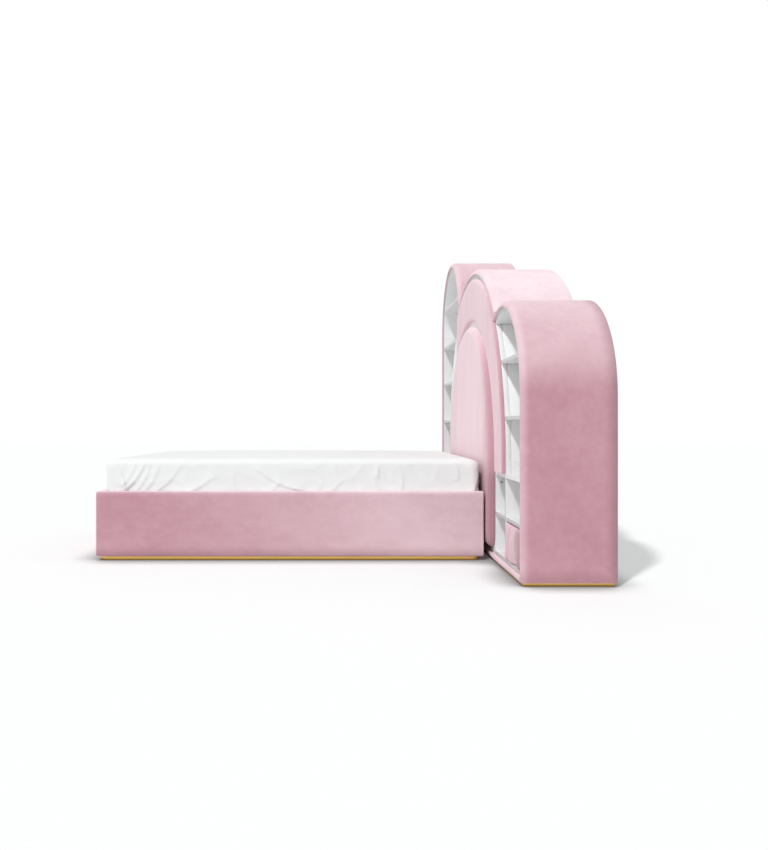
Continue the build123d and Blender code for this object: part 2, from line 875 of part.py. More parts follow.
def fitted_sheet():
    """Sheet over the top and sides, down to a hem where the mattress starts to turn under."""
    skin = mattress_solid(sheet_thick, mattress_edge, 0) - mattress_solid(0, 0, mattress_edge)
    return mattress_place() * skin


def build():
    """Every node and its shape."""
    nodes = {
        "foot_board": foot_board(),
        "foot_cover": foot_cover(),
        "head_rail": head_rail(),
        "bed_plinth": bed_plinth(),
        "slat_bearers": bearers(),
        "centre_beam": centre_beam(),
        "centre_legs": centre_legs(),
        "slats": slats(),
        "slat_holders": slat_holders(),
        "corner_brackets": corner_brackets(),
        "corner_bolts": Compound(children=[bolt(*place) for place in bolt_places()]),
        "mattress": mattress(),
        "fitted_sheet": fitted_sheet(),
        "headboard_bolts": tie_bolts(),
        "middle_arch_cover": middle_shell(arch_cover),
        "middle_arch_liner": middle_shell(arch_liner),
        "arch_front_board": front_board(),
        "arch_back_board": middle_board(panel_x),
        "outer_arch_pad": outer_band(),
        "centre_arch_pad": centre_pad(),
        "front_strip_pad": front_strip(),
        "headboard_frame": headboard_frame(),
        "headboard_plinth": headboard_plinth(),
        "cover_caps": Compound(children=[cover_cap(side) for side in SIDES]),
        "drawer_fixed_runners": Compound(children=[bar for side in SIDES for bar in runners(side, False)]),
    }
    for side in SIDES:
        nodes[f"{side}_side_board"] = side_board(side)
        nodes[f"{side}_side_cover"] = side_cover(side)
        nodes[f"{side}_arch_cover"] = side_shell(side, arch_cover)
        nodes[f"{side}_arch_liner"] = side_shell(side, arch_liner)
        nodes[f"{side}_back_panel"] = back_panel(side)
        nodes[f"{side}_bottom_board"] = bottom_board(side)
        nodes[f"{side}_counter_board"] = counter(side)
        nodes[f"{side}_divider"] = divider(side)
        nodes[f"{side}_inner_wall"] = inner_wall(side)
        nodes[f"{side}_curved_wall"] = curved_wall(side)
        nodes[f"{side}_low_shelves"] = low_shelves(side)
        for number in range(1, SHELVES[side] + 1):
            nodes[f"{side}_shelf_{number}"] = arch_shelf(side, counter_top + number * shelf_pitch)
        nodes[f"{side}_drawer_pad"] = drawer_pad(side)
        nodes[f"{side}_drawer_box"] = drawer_box(side)
        nodes[f"{side}_drawer_runners"] = Compound(children=runners(side, True))
    return nodes


os.makedirs("parts", exist_ok=True)
for name, shape in build().items():
    shape.label = name
    export_step(shape, f"parts/{name}.step")
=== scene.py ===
# %% [markdown]
# # A kids bed with an arch headboard
# This lesson dresses the measured model of a child's double bed: pink velvet over foam, white
# lacquered shelves, a brass plinth and a white fitted sheet. The measured model, the frame, gives
# every place and size. Here we add what a workshop adds last: padding, cloth and finishes.

import json
from math import acos, atan2, cos, exp, hypot, pi, radians, sin

import bmesh
import bpy
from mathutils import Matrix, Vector, noise


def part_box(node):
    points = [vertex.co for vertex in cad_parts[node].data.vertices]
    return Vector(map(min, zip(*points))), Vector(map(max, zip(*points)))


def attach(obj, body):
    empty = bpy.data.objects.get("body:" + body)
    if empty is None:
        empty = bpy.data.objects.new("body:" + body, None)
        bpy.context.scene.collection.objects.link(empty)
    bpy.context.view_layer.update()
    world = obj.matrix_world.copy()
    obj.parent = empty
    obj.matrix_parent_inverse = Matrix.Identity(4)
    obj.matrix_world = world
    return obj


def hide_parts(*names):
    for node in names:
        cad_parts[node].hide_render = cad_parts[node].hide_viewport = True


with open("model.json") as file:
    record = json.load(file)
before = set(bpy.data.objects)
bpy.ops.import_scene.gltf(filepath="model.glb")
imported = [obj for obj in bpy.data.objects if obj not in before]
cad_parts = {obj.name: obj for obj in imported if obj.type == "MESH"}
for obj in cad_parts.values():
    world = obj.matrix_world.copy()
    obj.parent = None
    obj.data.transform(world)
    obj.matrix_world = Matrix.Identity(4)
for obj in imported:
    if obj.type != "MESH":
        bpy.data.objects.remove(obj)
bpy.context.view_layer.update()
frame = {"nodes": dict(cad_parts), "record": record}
nodes = frame["nodes"]
print("nodes in the frame:", len(nodes))

# %% [markdown]
# ## The camera
# The photograph looks straight across the bed, from a little above the mattress, with the
# vanishing point left of the middle of the picture. A camera could be turned until it fits, but
# then upright lines lean. A level camera with a small sideways shift keeps them upright.

# %% Camera
picture_height = 850
focal_pixels = 828
sensor = 36
horizon = (343.5, 427)
picture_middle = (384, 425)

camera = bpy.data.objects.new("camera", bpy.data.cameras.new("camera"))
bpy.context.scene.collection.objects.link(camera)
camera.location = (0.051, -5.180, 0.715)
camera.rotation_euler = (pi / 2, 0, 0)
camera.data.sensor_width = sensor
camera.data.lens = focal_pixels / picture_height * sensor
camera.data.shift_x = (picture_middle[0] - horizon[0]) / picture_height
camera.data.shift_y = (horizon[1] - picture_middle[1]) / picture_height
camera.data.clip_end = 60
bpy.context.scene.camera = camera
print("lens, millimetres:", round(camera.data.lens, 2))

# %% [markdown]
# ## Writing finishes
# A finish is a small network of nodes. To keep it readable, one class stands for a value that
# runs through the network, so that sums are written as sums, and one method adds any other node.

# %% A value in a finish, and the finish itself
class Value:
    """A value in a finish. Sums with it add maths nodes."""

    def __init__(self, finish, socket):
        self.finish, self.socket = finish, socket

    def maths(self, operation, first, second):
        return self.finish.node("ShaderNodeMath", {"operation": operation}, {0: first, 1: second})

    def __add__(self, other):
        return self.maths("ADD", self, other)

    def __sub__(self, other):
        return self.maths("SUBTRACT", self, other)

    def __rsub__(self, other):
        return self.maths("SUBTRACT", other, self)

    def __mul__(self, other):
        return self.maths("MULTIPLY", self, other)

    def __pow__(self, other):
        return self.maths("POWER", self, other)

    __radd__ = __add__
    __rmul__ = __mul__


class Finish:
    """A material made of nodes, with one shader at its end."""

    def __init__(self, name):
        self.material = bpy.data.materials.new(name)
        self.material.use_nodes = True
        self.tree = self.material.node_tree
        self.tree.nodes.clear()
        self.place = self.node("ShaderNodeTexCoord", output="Object")

    def node(self, kind, settings=None, inputs=None, output=0):
        """Adds a node, sets it, then feeds its inputs, and gives one of its outputs."""
        made = self.tree.nodes.new(kind)
        settings = dict(settings or {})
        stops = settings.pop("stops", None)
        for key, value in settings.items():
            setattr(made, key, value)
        if stops:
            ramp = made.color_ramp.elements
            while len(ramp) < len(stops):
                ramp.new(1)
            for point, (position, colour) in zip(ramp, stops):
                point.position, point.color = position, colour
        for key, value in (inputs or {}).items():
            if isinstance(value, Value):
                self.tree.links.new(value.socket, made.inputs[key])
            else:
                made.inputs[key].default_value = value
        return Value(self, made.outputs[output]) if made.outputs else None

    def stretched(self, scale, turn=(0, 0, 0)):
        """The object's own coordinates, scaled and turned for a pattern."""
        inputs = {"Vector": self.place, "Scale": scale, "Rotation": turn}
        return self.node("ShaderNodeMapping", inputs=inputs)

    def clouds(self, scale, detail=2.0, roughness=0.5, where=None):
        """Soft irregular noise from 0 to 1."""
        inputs = {"Vector": where or self.place, "Scale": scale, "Detail": detail, "Roughness": roughness}
        return self.node("ShaderNodeTexNoise", inputs=inputs)

    def spread(self, value, low, high):
        """A value of 0 to 1 laid between two limits."""
        return value * (high - low) + low

    def blend(self, amount, first, second):
        """Mixes two colours."""
        inputs = {"Factor": amount, 6: first, 7: second}
        return self.node("ShaderNodeMix", {"data_type": "RGBA"}, inputs, output=2)

    def relief(self, height, depth, strength=1.0, under=None):
        """Turns a height into a bump, in metres."""
        inputs = {"Height": height, "Distance": depth, "Strength": strength}
        if under:
            inputs["Normal"] = under
        return self.node("ShaderNodeBump", inputs=inputs)

    def surface(self, **inputs):
        """A surface shader, whose inputs have spaces for underscores."""
        named = {key.replace("_", " "): value for key, value in inputs.items()}
        return self.node("ShaderNodeBsdfPrincipled", inputs=named)

    def ended(self, shader):
        """Ends the finish with a shader."""
        self.node("ShaderNodeOutputMaterial", inputs={"Surface": shader})
        return self.material

    def done(self, **inputs):
        """Ends the finish with one surface shader."""
        return self.ended(self.surface(**inputs))


def tint(red, green, blue):
    """A colour as it is read off a screen, 0 to 255, turned into light values."""
    def light(value):
        share = value / 255
        return share / 12.92 if share <= 0.04045 else ((share + 0.055) / 1.055) ** 2.4
    return (light(red), light(green), light(blue), 1)


def darker(colour, share):
    """The same colour with only a share of its light."""
    return tuple(channel * share for channel in colour[:3]) + (1,)


# %% [markdown]
# ## Velvet
# Velvet is a short pile. Seen straight on it swallows light and looks deep; seen along the
# surface the ends of the pile catch the light and it looks pale. Sheen alone can't turn the
# colour so far, so the finish mixes two surfaces, the deep pile and its pale tips, and shows more
# of the tips the further the cloth turns away. Hands and the upholsterer's brush leave the pile
# leaning in patches, which show as soft clouds, and a fine grain only shows close up.

# %% Velvet finish
velvet_deep = tint(192, 141, 154)
velvet_mid = tint(208, 163, 174)
velvet_pale = tint(251, 230, 236)
# Share of the pale tips that is left on the rim under the painted shade.
shaded_rim_share = 0.55


def velvet(name, streak=(1, 1, 1), least=0.0, most=1.0, painted_light=(), shaded_rim=None, painted_shade=(),
           ends=velvet_pale):
    """Pink velvet. A streak below 1 draws the leaning patches out along that axis.

    least and most say how much of the pale tips shows, seen straight on and along the surface.
    painted_light holds (axis, from, to, gain): stretches, in metres, painted lighter with more pale tips:
    painted light.
    painted_shade holds (axis, from, to, share): stretches painted darker: painted shade.
    shaded_rim (centre height, from, to) is a rim round an arch painted with fewer pale tips: painted
    shade.
    ends is the colour of the tips."""
    finish = Finish(name)

    def along(axis):
        return finish.node("ShaderNodeSeparateXYZ", inputs={"Vector": finish.place}, output=axis)

    def eased(value, low, high, first, last):
        return finish.node("ShaderNodeMapRange", {"interpolation_type": "SMOOTHSTEP"}, {
            "Value": value, "From Min": low, "From Max": high, "To Min": first, "To Max": last})

    # Painted light: each stretch shows more of the pale tips, so it looks lighter.
    for axis, low, high, gain in painted_light:
        least = eased(along(axis), low, high, 0, gain) + least
    # Painted shade: depth says how far each place is blended towards a darker colour.
    depth = 0
    for axis, low, high, share in painted_shade:
        shade = eased(along(axis), low, high, 0, share)
        depth = shade.maths("MAXIMUM", shade, depth)
    # Painted shade round the rim: fewer pale tips show there.
    if shaded_rim:
        height, low, high = shaded_rim
        above = (along("Z") - height).maths("MAXIMUM", along("Z") - height, 0)
        across = along("Y")
        most = eased((across * across + above * above) ** 0.5, low, high,
                     most, most * shaded_rim_share)
    laid = finish.stretched(streak)
    patches = finish.clouds(3.5, 5.0, 0.6, laid)
    strokes = finish.clouds(26.0, 3.0, 0.6, laid)
    grain = finish.clouds(900.0, 2.0, 0.6)
    lean = eased(patches * 0.55 + strokes * 0.3 + grain * 0.15, 0.25, 0.75, 0, 1)
    soft = finish.relief(strokes, 0.0012, 0.3)
    bumps = finish.relief(grain, 0.0004, 0.5, soft)
    colour = finish.blend(lean, velvet_deep, velvet_mid)
    # Where the painted shade is, the pile and its tips are both blended towards a darker pink.
    pile = finish.surface(
        Base_Color=finish.blend(depth, colour, darker(velvet_deep, 0.5)),
        Roughness=finish.spread(lean, 0.86, 0.76), Normal=bumps, Specular_IOR_Level=0.1,
        Sheen_Weight=0.4, Sheen_Roughness=0.4, Sheen_Tint=velvet_pale)
    pale = finish.blend(lean, darker(ends, 0.92), ends)
    tips = finish.surface(
        Base_Color=finish.blend(depth, pale, darker(velvet_deep, 0.7)),
        Roughness=0.9, Normal=bumps, Specular_IOR_Level=0.0)
    edge_on = finish.node("ShaderNodeLayerWeight", inputs={"Blend": 0.5, "Normal": soft}, output="Facing")
    amount = eased(edge_on, 0.02, 1.02, least, most) * finish.spread(lean, 0.82, 1.06)
    return finish.ended(finish.node("ShaderNodeMixShader", inputs={0: amount, 1: pile, 2: tips}))


# %% [markdown]
# ## The velvet on each piece
# One roll of velvet covers everything, and its pile lies along the rails and upright on the headboard.
# Each variant also paints light and shade: stretches painted paler, stretches painted darker, a painted
# shade round the centre panel's rim, and painted light over the whole middle arch. These stretches were
# placed to match the photograph, so they suit its view best: they stay where they are as the camera
# moves, and only the pale tips and the sheen follow it.

# %% One velvet for each piece, with its painted light and shade
pink_velvet = velvet("pink velvet")
upright_velvet = velvet("pink velvet, laid upright", (1, 1, 0.14), ends=tint(253, 229, 236))
# Painted shade: fewer pale tips round the centre panel's rim, and darker from the mattress top down.
pad_velvet = velvet(
    "pink velvet, painted shade at the rim and foot", (1, 1, 0.14), shaded_rim=(0.75, 0.62, 0.76),
    painted_shade=[("Z", 0.56, 0.42, 0.45)], ends=tint(255, 234, 240))
# Painted light: paler from the foot towards the head end, and a painted highlight along the top edge and
# at the head end. Painted shade: darker towards the floor.
rail_velvet = velvet(
    "pink velvet, laid along, painted light and shade", (0.6, 1, 1), least=0.03,
    painted_light=[("X", -1.3, 0.9, 0.56), ("Z", 0.345, 0.37, 0.25), ("X", 0.780, 0.803, 0.25)],
    painted_shade=[("Z", 0.085, 0.015, 0.45)])
# Painted light: paler up round the top of the arch and towards its front edge. Painted shade: darker
# towards its back edge and towards the floor.
near_velvet = velvet(
    "pink velvet, painted light and shade on the near arch", most=0.70,
    painted_light=[("Z", 0.86, 1.06, 0.36), ("X", 0.885, 0.845, 0.35)],
    painted_shade=[("X", 1.205, 1.285, 0.55), ("Z", 0.09, 0.015, 0.35)])
# Painted light: paler up round the top of the arch and towards its front edge. Painted shade: darker
# towards the floor.
far_velvet = velvet(
    "pink velvet, painted light and shade on the far arch", most=0.72,
    painted_light=[("Z", 1.40, 1.78, 0.38), ("X", 0.885, 0.845, 0.35)],
    painted_shade=[("Z", 0.09, 0.015, 0.35)])
# Painted light: the middle arch shows mostly pale tips even seen straight on, so it looks lit all over.
painted_lit_velvet = velvet(
    "pink velvet, painted light all over", least=0.86, ends=tint(252, 234, 240))
# Painted shade: fewer pale tips than elsewhere, and darker towards each drawer's outer end.
drawer_shade_velvet = velvet(
    "pink velvet, painted shade on the drawers", (1, 1, 0.3), most=0.80,
    painted_shade=[("Y", -1.31, -1.40, 0.5), ("Y", 1.31, 1.40, 0.5)])
print("finishes so far:", len(bpy.data.materials))

# %% [markdown]
# ## White lacquer
# The shelves are board with a satin white lacquer: very even, with a faint orange-peel ripple from the
# spray gun and slightly duller patches where it has been wiped. On the shelves, liners, dividers and
# bottoms, the finish paints every face that looks to the front a little greyer: painted shade.

# %% Lacquer finish
def lacquer(name, colour, front_shade_colour=None):
    """Sprayed satin lacquer. A front shade colour, if given, is painted shade on the faces that look to
    the front.
    """
    finish = Finish(name)
    peel = finish.clouds(260.0, 2.0)
    wiped = finish.clouds(3.0, 3.0)
    body = finish.blend(wiped, darker(colour, 0.975), colour)
    # Painted shade: faces that look to the front are blended towards a greyer colour.
    if front_shade_colour:
        facing = finish.node("ShaderNodeTexCoord", output="Normal")
        forwards = finish.node("ShaderNodeSeparateXYZ", inputs={"Vector": facing}, output="X")
        front_shade_mask = finish.node("ShaderNodeMapRange", inputs={
            "Value": forwards, "From Min": -0.7, "From Max": -0.9})
        body = finish.blend(front_shade_mask, body, front_shade_colour)
    return finish.done(
        Base_Color=body, Roughness=finish.spread(wiped, 0.36, 0.46),
        Normal=finish.relief(peel, 0.0003, 0.12), Specular_IOR_Level=0.4)


# The grey is the painted shade for faces that look to the front.
board_white, front_shade_grey = tint(247, 248, 248), tint(208, 212, 212)
white_lacquer = lacquer("white lacquer", board_white)
front_shaded_lacquer = lacquer("white lacquer, painted shade on front faces", board_white, front_shade_grey)
print("finishes so far:", len(bpy.data.materials))

# %% [markdown]
# ## Brass, steel, timber and plastic
# The plinth is brushed brass: fine scratches all run along the strip. The timber inside the bed
# is bare softwood, with long grain that wanders a little, and the fittings are zinc, black steel
# and moulded plastic. Noise stretched along one axis gives scratches and grain their direction.

# %% Metal, timber and plastic finishes
def brushed_metal(name, colour, low, high, scratches, painted_foot_top=None):
    """Metal with fine scratches, given as the scale of their pattern on each axis.

    painted_foot_top, a height in metres, is where the bright part ends; below it the colour is painted
    much darker, a painted reflection of the shaded floor."""
    finish = Finish(name)
    scratch = finish.clouds(1.0, 3.0, 0.7, finish.stretched(scratches))
    cloud = finish.clouds(9.0, 2.0)
    body = finish.blend(cloud, darker(colour, 0.9), colour)
    # Painted shade: below that height the brass is much darker, as the shaded floor seen in it.
    if painted_foot_top:
        height = finish.node("ShaderNodeSeparateXYZ", inputs={"Vector": finish.place}, output="Z")
        above_painted_foot = finish.node("ShaderNodeMapRange", {"interpolation_type": "SMOOTHSTEP"}, {
            "Value": height, "From Min": painted_foot_top - 0.005, "From Max": painted_foot_top + 0.005})
        body = finish.blend(above_painted_foot, darker(colour, 0.32), body)
    return finish.done(
        Base_Color=body, Metallic=1.0, Roughness=finish.spread(scratch * 0.6 + cloud * 0.4, low, high),
        Normal=finish.relief(scratch, 0.0002, 0.2))


def timber(name, pale, dark):
    """Planed softwood with its grain along X."""
    finish = Finish(name)
    wander = finish.clouds(2.2, 3.0, 0.5, finish.stretched((0.4, 6, 6)))
    rings = finish.node("ShaderNodeTexWave", {"wave_type": "BANDS", "bands_direction": "Y"}, {
        "Vector": finish.stretched((1.0, 14, 14)), "Scale": 1.6, "Distortion": 5.0, "Detail": 2.0})
    pores = finish.clouds(1.0, 2.0, 0.6, finish.stretched((30, 900, 900)))
    grain = finish.blend(rings * 0.55 + wander * 0.45, pale, dark)
    body = finish.blend(pores * 0.25, grain, darker(dark, 0.8))
    return finish.done(
        Base_Color=body, Roughness=finish.spread(pores, 0.55, 0.72),
        Normal=finish.relief(pores, 0.0003, 0.3))


def moulded(name, colour, low, high, grit):
    """Moulded plastic or powder paint: a fine even grit."""
    finish = Finish(name)
    speck = finish.clouds(grit, 2.0)
    body = finish.blend(speck, darker(colour, 0.9), colour)
    return finish.done(
        Base_Color=body, Roughness=finish.spread(speck, low, high),
        Normal=finish.relief(speck, 0.0003, 0.25))


# The brass strip is painted much darker below 9 mm: painted shade.
brass = brushed_metal("brass, scratched along the strip", tint(238, 196, 112), 0.22, 0.4, (4, 4, 700), painted_foot_top=0.009)
zinc = brushed_metal("zinc plate", tint(190, 192, 196), 0.3, 0.45, (160, 160, 160))
softwood = timber("bare softwood", tint(222, 190, 146), tint(190, 148, 98))
black_paint = moulded("black powder paint", tint(42, 42, 44), 0.45, 0.6, 700.0)
black_plastic = moulded("black moulded plastic", tint(50, 50, 53), 0.4, 0.55, 400.0)
grey_plastic = moulded("grey moulded plastic", tint(178, 180, 182), 0.35, 0.5, 400.0)
print("finishes so far:", len(bpy.data.materials))

# %% [markdown]
# ## Sheet cotton and ticking
# The fitted sheet is plain white cotton: a fine over-and-under weave, seen only close up, and
# very slightly uneven. The mattress below it wears a quilted cover, sewn in diamonds. Two waves
# across each other make the weave, and two turned waves multiplied make the diamonds' pillows.

# %% Cloth finishes
def cotton(name, colour):
    """Plain woven cotton."""
    finish = Finish(name)
    weave = finish.node("ShaderNodeTexWave", {"bands_direction": "X"}, {
        "Vector": finish.place, "Scale": 420.0, "Distortion": 0.6})
    weft = finish.node("ShaderNodeTexWave", {"bands_direction": "Y"}, {
        "Vector": finish.place, "Scale": 420.0, "Distortion": 0.6})
    slub = finish.clouds(14.0, 3.0)
    return finish.done(
        Base_Color=finish.blend(slub, darker(colour, 0.97), colour),
        Roughness=finish.spread(slub, 0.8, 0.9), Specular_IOR_Level=0.2,
        Normal=finish.relief(weave * 0.5 + weft * 0.5, 0.00015, 0.3),
        Sheen_Weight=0.15, Sheen_Roughness=0.5)


def quilted(name, colour, size):
    """Ticking quilted in diamonds of one size, in metres."""
    finish = Finish(name)
    turned = finish.stretched((1, 1, 1), (0, 0, radians(45)))
    across = finish.node("ShaderNodeSeparateXYZ", inputs={"Vector": turned}, output="X")
    along = finish.node("ShaderNodeSeparateXYZ", inputs={"Vector": turned}, output="Y")

    def puff(value):
        wave = finish.node("ShaderNodeMath", {"operation": "SINE"}, {0: value * (pi / size)})
        return finish.node("ShaderNodeMath", {"operation": "ABSOLUTE"}, {0: wave})

    height = (puff(across) * puff(along)) ** 0.4
    knit = finish.clouds(700.0, 2.0)
    # Painted shade: the colour is darker down in the stitched dips of the quilting.
    body = finish.blend(height, darker(colour, 0.86), colour)
    return finish.done(
        Base_Color=body, Roughness=finish.spread(knit, 0.8, 0.92), Sheen_Weight=0.2,
        Normal=finish.relief(height + knit * 0.04, 0.006, 0.8))


white_cotton = cotton("white cotton", tint(243, 246, 245))
ticking = quilted("quilted ticking", tint(238, 237, 233), 0.085)
print("finishes so far:", len(bpy.data.materials))

# %% [markdown]
# ## Finishes for the rigid pieces
# The boards, slats and fittings keep their measured shape. Each gets its finish by the material
# slot that the record names for it. A real board's edges are never razor sharp, so a fine bevel,
# a millimetre or two wide, catches a line of light along each of them.

# %% Dress the rigid pieces
finish_of_slot = {
    "white_lacquer": white_lacquer, "bare_timber": softwood, "brass": brass, "dark_steel": black_paint,
    "zinc_steel": zinc, "holder_plastic": black_plastic, "cap_plastic": grey_plastic,
    "ticking": ticking, "white_sheet": white_cotton, "pink_velvet": pink_velvet,
}
eased_edge = {"white_lacquer": 0.0009, "bare_timber": 0.0012, "brass": 0.002}
front_shaded_pieces = ("shelf", "shelves", "liner", "divider", "bottom")

for part in frame["record"]["subparts"]:
    node = nodes[part["node"]]
    node.data.materials.clear()
    slot = part["material_slot"]
    # Shelves, liners, dividers and bottoms get the lacquer with painted shade on their front faces.
    has_front_shade = any(word in part["node"] for word in front_shaded_pieces)
    node.data.materials.append(front_shaded_lacquer if has_front_shade else finish_of_slot[slot])
    if slot in eased_edge:
        weld = node.modifiers.new("join the facets", "WELD")
        weld.merge_threshold = 0.00002
        ease = node.modifiers.new("ease the edges", "BEVEL")
        ease.width = eased_edge[slot]
        ease.segments = 2
        ease.angle_limit = radians(35)
        ease.use_clamp_overlap = True

# %% [markdown]
# ## Helpers for padded pieces
# Upholstery keeps to a few shapes: a section carried along a straight and round an arch, and a
# cushion that rolls over its edge. One helper draws the section as a loop of edges and rounds
# its corners, one carries it along an arch, and one turns the finished mesh into a piece.

# %% From a mesh to a piece
def new_piece(name, bm, finish, body="frame"):
    """Makes a piece of a finished mesh, smooth except at sharp folds, and gives it its body."""
    bmesh.ops.recalc_face_normals(bm, faces=bm.faces)
    for face in bm.faces:
        face.smooth = True
    for edge in bm.edges:
        edge.smooth = len(edge.link_faces) != 2 or edge.calc_face_angle(0) < radians(50)
    mesh = bpy.data.meshes.new(name)
    bm.to_mesh(mesh)
    bm.free()
    mesh.materials.append(finish)
    piece = bpy.data.objects.new(name, mesh)
    bpy.context.scene.collection.objects.link(piece)
    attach(piece, body)
    print(name, "faces:", len(mesh.polygons))
    return piece


# %% Draw a section
rounding_step = 0.004


def section_loop(bm, corners, lift):
    """Draws a closed loop of edges through (x, radius, rounding) corners.

    lift places a corner's (x, radius) in space."""
    verts = [bm.verts.new(lift(x, r)) for x, r, rounding in corners]
    for index, vert in enumerate(verts):
        bm.edges.new((verts[index - 1], vert))
    for vert, (x, r, rounding) in zip(verts, corners):
        if rounding:
            steps = max(3, round(rounding / rounding_step))
            bmesh.ops.bevel(
                bm, geom=[vert], offset=rounding, offset_type="OFFSET", segments=steps,
                profile=0.5, affect="VERTICES", material=-1)


def divided(bm, length):
    """Splits every edge that is longer than a length into equal parts."""
    for edge in bm.edges[:]:
        cuts = round(edge.calc_length() / length) - 1
        if cuts > 0:
            bmesh.ops.subdivide_edges(bm, edges=[edge], cuts=cuts)


# %% Carry a section on, and close its ends
def edges_of(geometry):
    """The edges among what an operator made."""
    return [item for item in geometry if isinstance(item, bmesh.types.BMEdge)]


def lengthen(bm, loop, vec, steps=1):
    """Pulls a loop of edges along a vector and gives the last loop."""
    for _ in range(steps):
        made = bmesh.ops.extrude_edge_only(bm, edges=loop)["geom"]
        moved = [item for item in made if isinstance(item, bmesh.types.BMVert)]
        bmesh.ops.translate(bm, verts=moved, vec=Vector(vec) / steps)
        loop = edges_of(made)
    return loop


def roll_ends(bm, loops, width):
    """Closes each end loop and rolls its edge, as cloth is turned under."""
    for loop in loops:
        bmesh.ops.contextual_create(bm, geom=loop)
    edges = [edge for loop in loops for edge in loop if edge.is_valid]
    bmesh.ops.bevel(
        bm, geom=edges, offset=width, offset_type="OFFSET", segments=3, profile=0.5,
        affect="EDGES", material=-1, clamp_overlap=True)


# %% [markdown]
# ## The three arch covers
# Foam and velvet go over each arch and turn round its front edge, where the pad is nearly a full
# round. The outer two covers end where they meet the wall of the middle arch, and the middle one
# lands on the two beside it. A section is carried up the straight leg and then spun round the
# arch's centre. Afterwards each point's turn is scaled so that the cover ends exactly on its
# neighbour, which it meets nearer or further round depending on its own distance from the centre.

# %% Sizes of the arches, from the frame
headboard_low, headboard_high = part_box("far_arch_cover")
near_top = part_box("near_arch_cover")[1].z
middle_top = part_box("middle_arch_cover")[1].z
board_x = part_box("far_arch_liner")[0].x
band_low, band_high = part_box("outer_arch_pad")

side_radius = 0.500
wall_radius = -band_low.y
front_x, back_x = headboard_low.x, headboard_high.x
floor_gap = headboard_low.z
cover_thick = near_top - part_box("near_arch_liner")[1].z
lip_thick = 0.029
side_offset = headboard_high.y - side_radius
near_spring = near_top - side_radius
far_spring = headboard_high.z - side_radius
wall_spring = band_high.z - wall_radius
middle_radius = 1.168
middle_spring = middle_top - middle_radius
springs = (near_spring, middle_spring, wall_spring, far_spring)
print("arch springs:", [round(spring, 4) for spring in springs])

# %% Where a side cover meets the middle wall, and the section of every cover
def wall_turn(radius, spring):
    """How far round from its outer side a side arch of that radius meets the middle wall."""
    dy, dz = -side_offset, wall_spring - spring
    distance = hypot(dy, dz)
    spread = acos((distance ** 2 + radius ** 2 - wall_radius ** 2) / (2 * distance * radius))
    return atan2(dz, dy) % (2 * pi) - spread


cover_corners = [
    (front_x, side_radius, 0.034),
    (front_x, side_radius - lip_thick, 0.004),
    (board_x, side_radius - lip_thick, 0),
    (board_x, side_radius - cover_thick, 0),
    (back_x, side_radius - cover_thick, 0),
    (back_x, side_radius, 0.010),
]

# %% Carry a section round an arch, and let its padding rise and fall
cloth_step = 0.02
arch_step = 0.009
end_roll = 0.0025
seat = 0.002
pile_rise = 0.0012


def carried_round(bm, loop, centre, start, finish_turn, step):
    """Spins a loop of edges about an arch's centre from one angle on, and gives the last loop."""
    turn = finish_turn - start
    steps = max(2, round(abs(turn) * side_radius / step))
    # dict.fromkeys drops what repeats and keeps the order.
    geometry = loop + list(dict.fromkeys(vert for edge in loop for vert in edge.verts))
    made = bmesh.ops.spin(
        bm, geom=geometry, cent=(0, centre[0], centre[1]), axis=(1, 0, 0), dvec=(0, 0, 0),
        angle=turn, steps=steps, use_duplicate=False)
    return edges_of(made["geom_last"])


def pile_up(bm, keep_clear=None, centre=None):
    """Lets the padding rise and fall by a hair, so that no face is dead flat.

    keep_clear(place, radius) is true for a point that stays put; the radius is its distance from
    the arch's centre, for points above it."""
    bm.normal_update()
    moves = []
    for vert in bm.verts:
        above = centre and vert.co.z > centre[1]
        radius = hypot(vert.co.y - centre[0], vert.co.z - centre[1]) if above else None
        if keep_clear and keep_clear(vert.co, radius):
            continue
        wave = noise.noise(vert.co * 3.1) * 0.6 + noise.noise(vert.co * 9.0) * 0.25
        moves.append((vert, vert.normal * wave * pile_rise))
    for vert, move in moves:
        vert.co += move


# %% Near and far cover
def side_cover(name, side, spring, node, finish):
    """Cover of the near (side -1) or far (side 1) arch."""
    bm = bmesh.new()
    centre = (side * side_offset, spring)
    section_loop(bm, cover_corners, lambda x, r: Vector((x, centre[0] + side * r, floor_gap)))
    divided(bm, cloth_step)
    first = bm.edges[:]
    rise = spring - floor_gap
    loop = lengthen(bm, first, (0, 0, rise), round(rise / cloth_step))
    nominal = wall_turn(side_radius, spring)
    last = carried_round(bm, loop, centre, 0, side * nominal, cloth_step)
    for vert in bm.verts:
        if vert.co.z > spring + 0.0001:
            dy, dz = side * (vert.co.y - centre[0]), vert.co.z - spring
            radius = hypot(dy, dz)
            turned = atan2(dz, dy) % (2 * pi) / nominal * wall_turn(radius, spring)
            vert.co.y = centre[0] + side * radius * cos(turned)
            vert.co.z = spring + radius * sin(turned)
    roll_ends(bm, [first, last], end_roll)

    def on_liner(co, radius):
        """True for a point that lies against the liner."""
        depth = side_radius - (side * (co.y - centre[0]) if radius is None else radius)
        return co.x > board_x - seat and depth > cover_thick - seat

    pile_up(bm, on_liner, centre)
    piece = new_piece(name, bm, finish)
    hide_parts(node)


side_cover("near_cover", -1, near_spring, "near_arch_cover", near_velvet)
side_cover("far_cover", 1, far_spring, "far_arch_cover", far_velvet)

# %% [markdown]
# ## The middle cover
# The middle arch has no legs: its cover is a wide strip of foam and velvet that lies between the
# two side arches. It could be cut by them with a boolean, which leaves ragged edges. So the same
# section is spun from one landing to the other, and each point's turn is scaled again.

